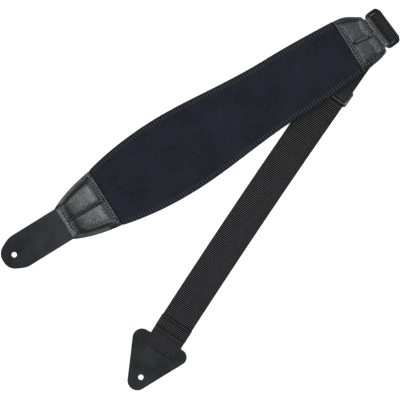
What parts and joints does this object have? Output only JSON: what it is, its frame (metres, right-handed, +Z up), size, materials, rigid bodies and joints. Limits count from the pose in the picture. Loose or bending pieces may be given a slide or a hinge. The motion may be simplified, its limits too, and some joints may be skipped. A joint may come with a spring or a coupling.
{
  "type": "padded guitar strap",
  "caption": "Padded shoulder strap for a guitar or bass: foam pad with leather tab, ring and webbing loop, sliding adjuster, long webbing tail and a lobed leather end with a button hole.",
  "frame": {"origin": "centre of the leather tab's button hole, on the surface that the strap lies on", "axes": "+X along the pad from the tab to the ring, +Z up out of the surface, +Y to the side away from the folded-back webbing"},
  "size_m": [0.6708, 0.329, 0.0172],
  "materials": {
    "tab_leather": "smooth charcoal leather, slightly waxed",
    "cap_vinyl": "glossy black synthetic leather, soft and wrinkled",
    "cap_foam": "soft open foam, hidden",
    "cap_thread": "bonded thread",
    "pad_fabric": "fine navy-black knitted fabric",
    "pad_foam": "closed-cell neoprene foam",
    "pad_thread": "bonded thread",
    "ring_plastic": "glossy black moulding",
    "webbing": "ribbed black polypropylene webbing with a slight sheen",
    "webbing_thread": "bonded thread",
    "adjuster_plastic": "satin black moulding",
    "end_leather": "mottled grey-green leather, matt"
  },
  "bodies": {
    "root": {"tab_leather": "tab_leather", "tab_cap_front": "cap_vinyl", "tab_cap_back": "cap_vinyl", "tab_cap_padding": "cap_foam", "tab_cap_stitching": "cap_thread", "pad_face": "pad_fabric", "pad_core": "pad_foam", "pad_backing": "pad_fabric", "pad_stitching": "pad_thread", "ring_cap_front": "cap_vinyl", "ring_cap_back": "cap_vinyl", "ring_cap_padding": "cap_foam", "ring_cap_stitching": "cap_thread", "ring_keeper": "cap_vinyl"},
    "ring": {"ring": "ring_plastic"},
    "web_loop": {"ring_webbing": "webbing", "short_strand": "webbing", "long_strand": "webbing"},
    "adjuster": {"adjuster": "adjuster_plastic", "adjuster_fold": "webbing", "adjuster_pass": "webbing", "adjuster_stitching": "webbing_thread"},
    "end_web": {"drop_strand": "webbing", "end_overlap": "webbing", "end_stitching": "webbing_thread"},
    "end_piece": {"end_fold": "webbing", "end_leather": "end_leather"}
  },
  "joints": [
    {"name": "ring_swing", "type": "hinge", "parent": "root", "child": "ring", "pos_m": [0.6265, -0.0034, 0.01135], "axis": [0.0854, -0.9963, 0], "range_deg": [0, 100]},
    {"name": "web_swing", "type": "hinge", "parent": "ring", "child": "web_loop", "pos_m": [0.64543, -0.00178, 0.00425], "axis": [0.0854, -0.9963, 0], "range_deg": [0, 180]},
    {"name": "adjust", "type": "slide", "parent": "web_loop", "child": "adjuster", "axis": [-0.9191, -0.3939, 0], "range_m": [-0.04, 0.1], "deforming": ["short_strand", "long_strand"]},
    {"name": "end_follow", "type": "slide", "parent": "adjuster", "child": "end_web", "axis": [-0.9107, -0.4131, 0], "range_m": [-0.2, 0.08], "deforming": ["drop_strand"]},
    {"name": "end_swing", "type": "hinge", "parent": "end_web", "child": "end_piece", "pos_m": [0.1289, -0.22261, 0.0014], "axis": [-0.4321, 0.9018, 0], "range_deg": [-60, 60], "deforming": ["end_fold"]}
  ],
  "couplings": [
    {"joint": "end_follow", "follows": "adjust", "ratio": -2}
  ]
}
